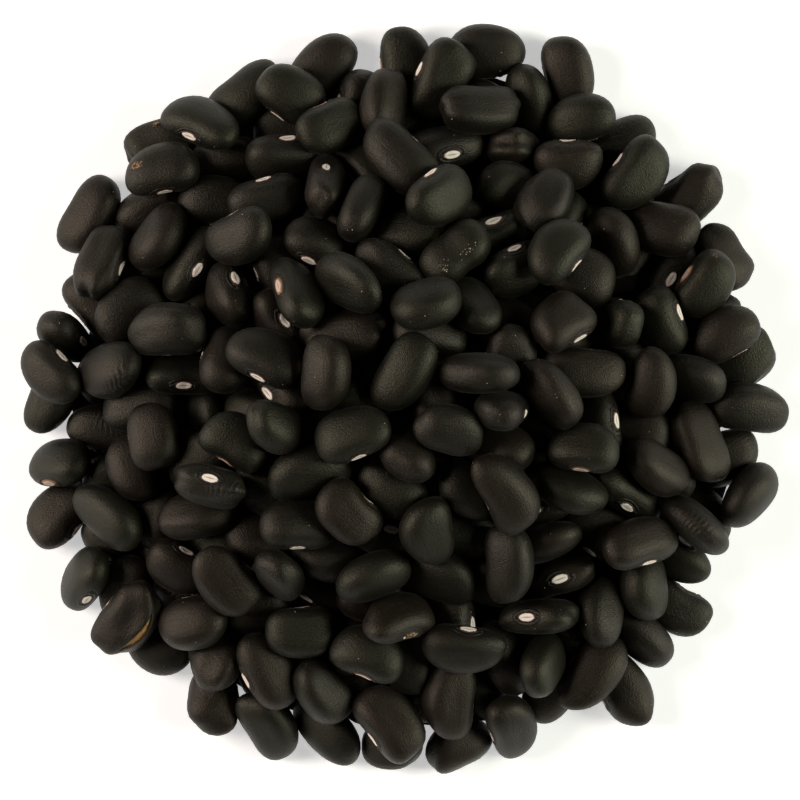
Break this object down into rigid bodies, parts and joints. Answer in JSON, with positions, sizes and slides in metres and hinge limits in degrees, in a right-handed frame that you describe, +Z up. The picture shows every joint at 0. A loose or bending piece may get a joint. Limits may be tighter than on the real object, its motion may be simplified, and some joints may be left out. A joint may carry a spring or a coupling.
{
  "type": "heap of dried black beans",
  "caption": "Loose round heap of dried black beans, as poured on a flat surface, one layer at the rim and about four in the middle.",
  "frame": {"origin": "on the surface that the heap lies on, under the middle of the heap", "axes": "+Z up out of the surface, +X about towards the top of the picture and +Y about towards its left"},
  "size_m": [0.094, 0.096, 0.0227],
  "materials": {
    "bean_skin": "matte"
  },
  "bodies": {
    "root": {"bean_heap": "bean_skin"}
  },
  "joints": []
}
